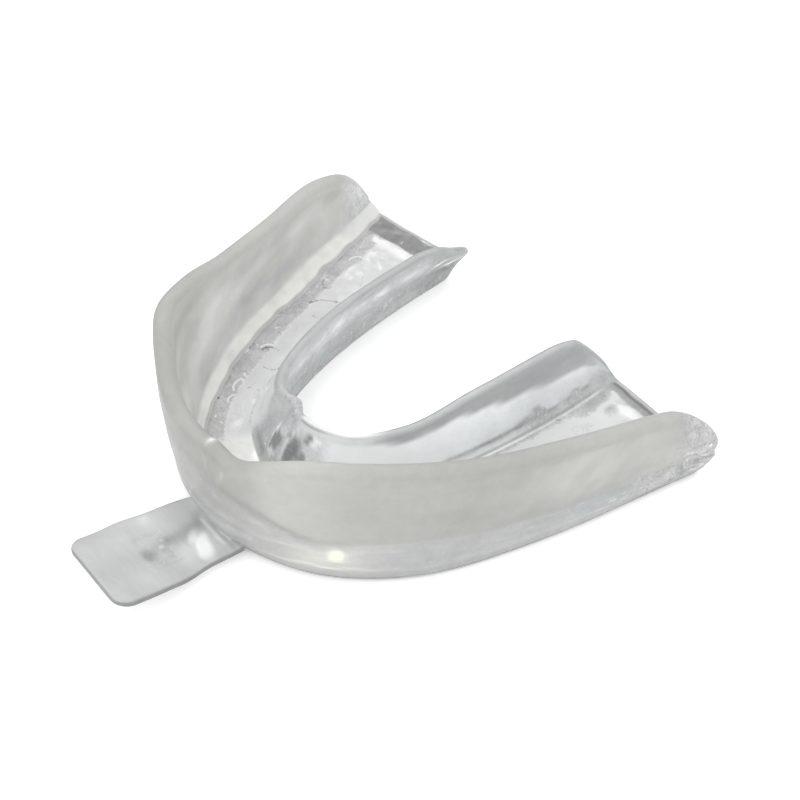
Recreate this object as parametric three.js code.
// One-arch mouthguard of clear EVA with a front tab, for boxing and martial arts.
//
// Frame: millimetres, +Z up. The bite floor rests on z = 0, the front teeth are towards -Y and
// the open ends of the two legs towards +Y. The part is symmetric about x = 0. The origin is on
// the underside of the bite floor, on the mid-line, half way across the front of the floor.
// Left and right are the wearer's: left is +X.
//
// Every section is drawn in (n, z): n is the distance outwards from the base curve, which is
// the lower outer edge of the guard seen from above, and z is the height. A place along the
// arch is its share of the half arc: 0 at the front middle, 1 at the left rear end and -1 at
// the right rear end.
//
// The moulding is split where it bends: a front section, two legs that spread on vertical
// hinge lines at the canines, and a tab that folds on a neck at the front.
import * as THREE from "three";

const { clamp, degToRad } = THREE.MathUtils;

// ---- driving dimensions, millimetres and degrees ----
const HALF_ARC = 64.6; // length of the base curve from the front middle to one rear end
const HEADING_END = 80.2; // the base curve turns towards this angle from the X axis
const HEADING_REACH = 1.19; // share of the half arc over which it would finish turning
const HEADING_POWER = 3.3; // how early it turns
const CURVE_STEPS = 800; // straight steps in the table of the base curve

const FLOOR_THICKNESS = 3.6;
const EDGE_RADIUS = 0.7; // rounding of the lower edges
const GAP = 0.3; // clearance between the floor and the walls
const WALL_FOOT_Z = FLOOR_THICKNESS + GAP;

const HINGE_SHARE = 0.34; // leg hinge line, as a share of the half arc
const HINGE_GAP = 1.4; // opening at each leg hinge, along the arch

// Outer wall along the half arc: share, rim height, how far the rim leans out.
const OUTER_TABLE = [
  [0, 14.4, -0.2],
  [0.05, 14.0, 0.4],
  [0.1, 15.0, 0.9],
  [0.16, 17.3, 1.8],
  [0.23, 20.6, 2.0],
  [0.32, 19.8, 0.7],
  [0.45, 17.5, -0.8],
  [0.6, 16.1, -1.1],
  [0.75, 15.6, -0.4],
  [0.88, 13.5, -0.2],
  [1.0, 10.7, 0.8],
];

// Body along the half arc: share, crown of the outer wall half way up, width from the base
// curve to the palate side, how far the inner rim leans to the palate, inner rim height.
const BODY_TABLE = [
  [0, 1.7, 10.4, 3.0, 8.1],
  [0.1, 1.3, 10.5, 2.8, 9.7],
  [0.22, 0.6, 10.7, 1.9, 10.3],
  [0.4, 0.6, 12.4, 1.1, 10.4],
  [0.6, 0.65, 14.0, 1.9, 11.2],
  [0.8, 0.95, 15.5, 2.6, 11.2],
  [1.0, 1.6, 17.1, 3.1, 8.6],
];
const FRONT_WIDTH = BODY_TABLE[0][2];
const FRONT_EDGE_Y = -FRONT_WIDTH / 2; // front edge of the base, on the mid-line

// The outer wall steps in from the base band below it.
const BAND = {
  inset: 0.28,
  height: 4.4, // where the step starts
  blend: 0.9, // height over which it runs
};

const OUTER_WALL = {
  rimThickness: 2.2,
  footThickness: 2.9, // just above the fillet
  filletReach: 2.3, // along the floor
  filletHeight: 2.2,
  endRadius: 9.0, // rounding of the rear upper corner, along the arch
  endHeight: 4.8, // height at which that rounding ends on the rear face
};
const INNER_WALL = {
  rimThickness: 1.5,
  footThickness: 1.9,
  filletReach: 0.9,
  filletHeight: 1.4,
  endRadius: 7.5,
  endHeight: 4.3,
};
const END_POWER = 2.0; // shape of both rear roundings: 2 is an ellipse

// The tab's y values are measured from the front edge of the base.
const TAB = {
  width: 10.6,
  rootWidth: 10.0,
  rootBlend: 1.6, // distance over which the root widens to the full width
  thickness: 1.2,
  foldY: -1.5,
  foldZ: 1.0,
  flatY: -4.5, // level to here, then curving up
  tipY: -15.4,
  rise: 3.3, // height gained by the tip
  cornerRadius: 2.0,
};

const FRONT_SPANS = 26;
const LEG_SPANS = 14;
const LEG_END_STATIONS = 6; // extra stations where the rear corner rounds over

// ---- curves along the arch ----
const smooth = (t) => t * t * (3 - 2 * t);

// Monotone cubic through one column of a table, so it has no ripples between its stations.
function curveThrough(rows, column) {
  const shares = rows.map((row) => row[0]);
  const values = rows.map((row) => row[column]);
  const last = rows.length - 1;
  const widths = [];
  const slopes = [];
  for (let i = 0; i < last; i++) {
    widths.push(shares[i + 1] - shares[i]);
    slopes.push((values[i + 1] - values[i]) / widths[i]);
  }
  // Level at the front middle, where the two halves meet, and at every peak and dip.
  const tangents = new Array(rows.length).fill(0);
  for (let i = 1; i < last; i++) {
    if (slopes[i - 1] * slopes[i] > 0) {
      const before = 2 * widths[i] + widths[i - 1];
      const after = widths[i] + 2 * widths[i - 1];
      tangents[i] = (before + after) / (before / slopes[i - 1] + after / slopes[i]);
    }
  }
  tangents[last] = slopes[last - 1];

  return (share) => {
    let i = 0;
    while (i < last - 1 && share > shares[i + 1]) i++;
    const t = clamp((share - shares[i]) / widths[i], 0, 1);
    const t2 = t * t;
    const t3 = t2 * t;
    return (
      (2 * t3 - 3 * t2 + 1) * values[i] +
      (t3 - 2 * t2 + t) * widths[i] * tangents[i] +
      (-2 * t3 + 3 * t2) * values[i + 1] +
      (t3 - t2) * widths[i] * tangents[i + 1]
    );
  };
}
const outerTop = curveThrough(OUTER_TABLE, 1);
const outerLean = curveThrough(OUTER_TABLE, 2);
const outerBulge = curveThrough(BODY_TABLE, 1);
const baseWidth = curveThrough(BODY_TABLE, 2);
const innerLean = curveThrough(BODY_TABLE, 3);
const innerTop = curveThrough(BODY_TABLE, 4);

// Heading of the base curve, in radians from the X axis.
function heading(share) {
  const left = 1 - clamp(share / HEADING_REACH, 0, 1);
  return degToRad(HEADING_END) * (1 - Math.pow(left, HEADING_POWER));
}

// Points [x, y] of the left half of the base curve, found by stepping along its heading.
function traceBaseCurve() {
  const points = [[0, FRONT_EDGE_Y]];
  const step = HALF_ARC / CURVE_STEPS;
  for (let i = 0; i < CURVE_STEPS; i++) {
    const angle = heading((i + 0.5) / CURVE_STEPS);
    const [x, y] = points[i];
    points.push([x + Math.cos(angle) * step, y + Math.sin(angle) * step]);
  }
  return points;
}
const baseCurve = traceBaseCurve();

// Point at a signed arc share, n outwards from the base curve, at height z.
function place(share, n, z) {
  const side = share < 0 ? -1 : 1;
  const along = Math.abs(share);
  const position = clamp(along, 0, 1) * CURVE_STEPS;
  const i = Math.min(Math.floor(position), CURVE_STEPS - 1);
  const t = position - i;
  const x = baseCurve[i][0] * (1 - t) + baseCurve[i + 1][0] * t;
  const y = baseCurve[i][1] * (1 - t) + baseCurve[i + 1][1] * t;
  const angle = heading(along);
  return new THREE.Vector3(side * (x + Math.sin(angle) * n), y - Math.cos(angle) * n, z);
}

// Rim height of a wall, lowered where its rear upper corner is rounded.
function roundedTop(share, wall, top) {
  const { endRadius, endHeight } = wall;
  const into = (Math.abs(share) * HALF_ARC - (HALF_ARC - endRadius)) / endRadius;
  const left = Math.pow(1 - Math.pow(clamp(into, 0, 1), END_POWER), 1 / END_POWER);
  return endHeight + (top - endHeight) * left;
}

// n of the outer surface of the guard at height z.
function outerFace(share, z) {
  const along = Math.abs(share);
  const up = clamp(z / outerTop(along), 0, 1);
  const inset = BAND.inset * smooth(clamp((z - BAND.height) / BAND.blend, 0, 1));
  return outerLean(along) * up + outerBulge(along) * 4 * up * (1 - up) - inset;
}

// n of the palate-side surface of the guard at height z.
function innerFace(share, z) {
  const along = Math.abs(share);
  const up = clamp(z / innerTop(along), 0, 1);
  return -(baseWidth(along) + innerLean(along) * up * up);
}

// ---- section profiles, each a closed loop of [n, z], counter-clockwise ----
function floorProfile(share) {
  const width = baseWidth(Math.abs(share));
  const top = FLOOR_THICKNESS;
  const middle = top * 0.6;
  const radius = EDGE_RADIUS;
  const inner = (z) => [innerFace(share, z), z];
  const outer = (z) => [outerFace(share, z), z];
  const [outerN] = outer(top);
  const [innerN] = inner(top);
  const between = [0.25, 0.5, 0.75];
  return [
    // underside, from the palate side to the outer side
    inner(radius),
    [-width + radius * 0.3, radius * 0.3],
    [-width + radius, 0],
    ...between.map((t) => [-width * (1 - t), 0]),
    [-radius, 0],
    [-radius * 0.3, radius * 0.3],
    // up the outer side, back over the top and down the palate side
    outer(radius),
    outer(middle),
    outer(top),
    ...between.map((t) => [outerN * (1 - t) + innerN * t, top]),
    inner(top),
    inner(middle),
  ];
}

// Points on an ellipse; negative radii turn it about its centre.
function arc(centreN, centreZ, radiusN, radiusZ, degrees) {
  return degrees.map((degree) => {
    const angle = degToRad(degree);
    return [centreN + radiusN * Math.cos(angle), centreZ + radiusZ * Math.sin(angle)];
  });
}

// Heights of the parts of a wall section; the rim and fillet shrink where the wall is low.
function wallHeights(wall, top) {
  const span = top - WALL_FOOT_Z;
  const rim = Math.min(wall.rimThickness / 2, span * 0.45);
  const side = span - rim;
  const fillet = Math.min(wall.filletHeight, side * 0.6);
  return { rim, side, fillet };
}

function outerWallProfile(share) {
  const { rimThickness, footThickness, filletReach } = OUTER_WALL;
  const top = roundedTop(share, OUTER_WALL, outerTop(Math.abs(share)));
  const { rim, side, fillet } = wallHeights(OUTER_WALL, top);
  const rimZ = top - rim;
  const filletZ = WALL_FOOT_Z + fillet;
  const footN = outerFace(share, WALL_FOOT_Z);
  const filletEndN = footN - footThickness - filletReach;

  // share of the side's height up to the top of the band step
  const step = clamp((BAND.height + BAND.blend - WALL_FOOT_Z) / side, 0.12, 0.5);
  const aboveStep = [0.25, 0.5, 0.75].map((t) => step + (1 - step) * t);
  const outerSide = [0, step * 0.4, step, ...aboveStep, 1].map((t) => {
    const z = WALL_FOOT_Z + side * t;
    return [outerFace(share, z), z];
  });
  const rimCentre = outerFace(share, rimZ) - rimThickness / 2;
  const innerSide = [1, 0.75, 0.5, 0.25, 0].map((t) => {
    const z = filletZ + (side - fillet) * t;
    const thickness = rimThickness + (footThickness - rimThickness) * (1 - t);
    return [outerFace(share, z) - thickness, z];
  });
  return [
    ...outerSide,
    ...arc(rimCentre, rimZ, rimThickness / 2, rim, [30, 60, 90, 120, 150]),
    ...innerSide,
    ...arc(filletEndN, filletZ, filletReach, -fillet, [30, 60, 85]),
    [filletEndN, WALL_FOOT_Z],
    [footN - footThickness * 0.5, WALL_FOOT_Z],
  ];
}

function innerWallProfile(share) {
  const { rimThickness, footThickness, filletReach } = INNER_WALL;
  const top = roundedTop(share, INNER_WALL, innerTop(Math.abs(share)));
  const { rim, side, fillet } = wallHeights(INNER_WALL, top);
  const rimZ = top - rim;
  const filletZ = WALL_FOOT_Z + fillet;
  const footN = innerFace(share, WALL_FOOT_Z);
  const filletEndN = footN + footThickness + filletReach;

  const toothSide = [0, 0.33, 0.67, 1].map((t) => {
    const z = filletZ + (side - fillet) * t;
    return [innerFace(share, z) + footThickness + (rimThickness - footThickness) * t, z];
  });
  const rimCentre = innerFace(share, rimZ) + rimThickness / 2;
  const palateSide = [1, 0.67, 0.33, 0].map((t) => {
    const z = WALL_FOOT_Z + side * t;
    return [innerFace(share, z), z];
  });
  return [
    [footN + footThickness * 0.5, WALL_FOOT_Z],
    [filletEndN, WALL_FOOT_Z],
    ...arc(filletEndN, filletZ, -filletReach, -fillet, [85, 55, 25]),
    ...toothSide,
    ...arc(rimCentre, rimZ, rimThickness / 2, rim, [36, 72, 108, 144]),
    ...palateSide,
  ];
}

// ---- solids ----
// Closed body through loops of points that all have the same count. The caps are
// triangulated from the first and last loop given in 2D.
function loft(loops, firstOutline, lastOutline) {
  const count = loops[0].length;
  const points = loops.flat();
  const triangles = [];
  for (let j = 0; j < loops.length - 1; j++) {
    for (let i = 0; i < count; i++) {
      const here = j * count + i;
      const next = j * count + ((i + 1) % count);
      triangles.push([here, next, next + count], [here, next + count, here + count]);
    }
  }
  const capFaces = (outline) =>
    THREE.ShapeUtils.triangulateShape(outline.map(([x, y]) => new THREE.Vector2(x, y)), []);
  const lastStart = (loops.length - 1) * count;
  for (const [a, b, c] of capFaces(firstOutline)) triangles.push([a, c, b]);
  for (const face of capFaces(lastOutline)) triangles.push(face.map((i) => lastStart + i));

  // A negative volume means that the faces point inwards, so they are turned over.
  let volume = 0;
  for (const [a, b, c] of triangles) {
    volume += points[a].dot(points[b].clone().cross(points[c]));
  }
  const index = triangles.flatMap(([a, b, c]) => (volume < 0 ? [a, c, b] : [a, b, c]));

  const geometry = new THREE.BufferGeometry();
  const coordinates = points.flatMap((point) => point.toArray());
  geometry.setAttribute("position", new THREE.Float32BufferAttribute(coordinates, 3));
  geometry.setIndex(index);
  geometry.computeVertexNormals();
  return geometry;
}

// Body swept along the arch through the given arc shares.
function sweep(profile, stations) {
  const outlines = stations.map(profile);
  const loops = outlines.map((outline, i) => outline.map(([n, z]) => place(stations[i], n, z)));
  return loft(loops, outlines[0], outlines[outlines.length - 1]);
}

// Evenly spaced arc shares, with extra ones gathered towards the rear corner's rounding.
function stationsBetween(start, end, spans, endStations = 0) {
  const shares = [];
  for (let i = 0; i <= spans; i++) shares.push(start + ((end - start) * i) / spans);
  for (let i = 1; i <= endStations; i++) {
    const turn = (Math.PI / 2) * (i / (endStations + 1));
    const fromEnd = (OUTER_WALL.endRadius / HALF_ARC) * (1 - Math.sin(turn));
    shares.push(Math.sign(end) * (1 - fromEnd));
  }
  const direction = Math.sign(end - start);
  const rounded = shares.map((share) => Math.round(share * 1e5) / 1e5);
  return [...new Set(rounded)].sort((a, b) => direction * (a - b));
}

// ---- tab ----
// Height of the tab's middle surface at y.
function tabHeight(y) {
  const t = clamp((TAB.flatY - y) / (TAB.flatY - TAB.tipY), 0, 1);
  return TAB.foldZ + TAB.rise * (0.35 * t * t + 0.65 * t * smooth(Math.min(1, 2.2 * t)));
}

function tabHalfWidth(y) {
  const { width, rootWidth, rootBlend, foldY, tipY, cornerRadius } = TAB;
  const widening = ((rootWidth - width) / 2) * Math.exp((y - foldY) / rootBlend);
  const halfWidth = width / 2 + widening;
  // The 0.995 limit keeps some width at the end of the corner rounding.
  const into = clamp((tipY + cornerRadius - y) / cornerRadius, 0, 0.995);
  return halfWidth - cornerRadius * (1 - Math.sqrt(1 - into ** 2));
}

// Half the thickness at y: the root and the tip edge are rounded.
function tabHalfThickness(y) {
  const radius = TAB.thickness / 2;
  const fromTip = (y - TAB.tipY) / radius;
  if (fromTip < 1) return radius * Math.sqrt(1 - (1 - fromTip) ** 2 * 0.8);
  if (y > TAB.foldY) return Math.sqrt(Math.max(0, radius ** 2 - (y - TAB.foldY) ** 2)) + 0.02;
  return radius;
}

// Cross-section of the tab at y, as [x, height from the middle surface].
function tabOutline(y) {
  const half = tabHalfThickness(y);
  const width = tabHalfWidth(y);
  const underside = [-1, -0.6, -0.2, 0.2, 0.6, 1].map((t) => [t * (width - half), -half]);
  const leftEdge = [
    [width - half * 0.3, -half * 0.7],
    [width, 0],
    [width - half * 0.3, half * 0.7],
  ];
  const firstHalf = [...underside, ...leftEdge];
  return [...firstHalf, ...firstHalf.map(([x, z]) => [-x, -z])];
}

function tabGeometry() {
  const { thickness, foldY, tipY, cornerRadius } = TAB;
  const bodySpans = 11;
  const stations = [];
  for (const degree of [10, 35, 60, 90]) {
    stations.push(foldY + (thickness / 2) * Math.cos(degToRad(degree)));
  }
  for (let i = 1; i <= bodySpans; i++) {
    stations.push(foldY + ((tipY + cornerRadius - foldY) * i) / bodySpans);
  }
  for (const degree of [25, 45, 62, 76, 85]) {
    stations.push(tipY + cornerRadius * (1 - Math.sin(degToRad(degree))));
  }
  const outlines = stations.map(tabOutline);
  const loops = outlines.map((outline, i) => {
    const y = stations[i];
    return outline.map(([x, z]) => new THREE.Vector3(x, y, tabHeight(y) + z));
  });
  return loft(loops, outlines[0], outlines[outlines.length - 1]);
}

// ---- materials ----
const plastic = (look) =>
  new THREE.MeshStandardMaterial({ metalness: 0, transparent: true, ...look });
const frosted = () => plastic({ color: 0xbfc1bd, roughness: 0.35, opacity: 0.8 });
const clear = () => plastic({ color: 0xd8dcdc, roughness: 0.12, opacity: 0.45 });
const pale = () => plastic({ color: 0xdedfdf, roughness: 0.2, opacity: 0.6 });

// ---- assembly ----
function add(parent, name, geometry, material) {
  const mesh = new THREE.Mesh(geometry, material);
  mesh.name = name;
  parent.add(mesh);
}

// One stretch of the arch: its floor and its two walls.
function archSection(prefix, outerWallName, stations) {
  const section = new THREE.Group();
  add(section, `${prefix}_bite_floor`, sweep(floorProfile, stations), clear());
  add(section, `${prefix}_${outerWallName}`, sweep(outerWallProfile, stations), frosted());
  add(section, `${prefix}_palatal_wall`, sweep(innerWallProfile, stations), clear());
  return section;
}

const halfGap = HINGE_GAP / 2 / HALF_ARC; // as a share of the half arc
const frontEnd = HINGE_SHARE - halfGap;
const legStart = HINGE_SHARE + halfGap;

function frontSection() {
  return archSection("front", "labial_wall", stationsBetween(-frontEnd, frontEnd, FRONT_SPANS));
}

function leg(name, side) {
  const stations = stationsBetween(side * legStart, side, LEG_SPANS, LEG_END_STATIONS);
  return archSection(name, "buccal_wall", stations);
}

function frontTab() {
  const tab = new THREE.Group();
  tab.position.y = FRONT_EDGE_Y;
  add(tab, "front_tab", tabGeometry(), pale());
  return tab;
}

const group = new THREE.Group();
group.add(frontSection(), leg("left", 1), leg("right", -1), frontTab());

export default group;
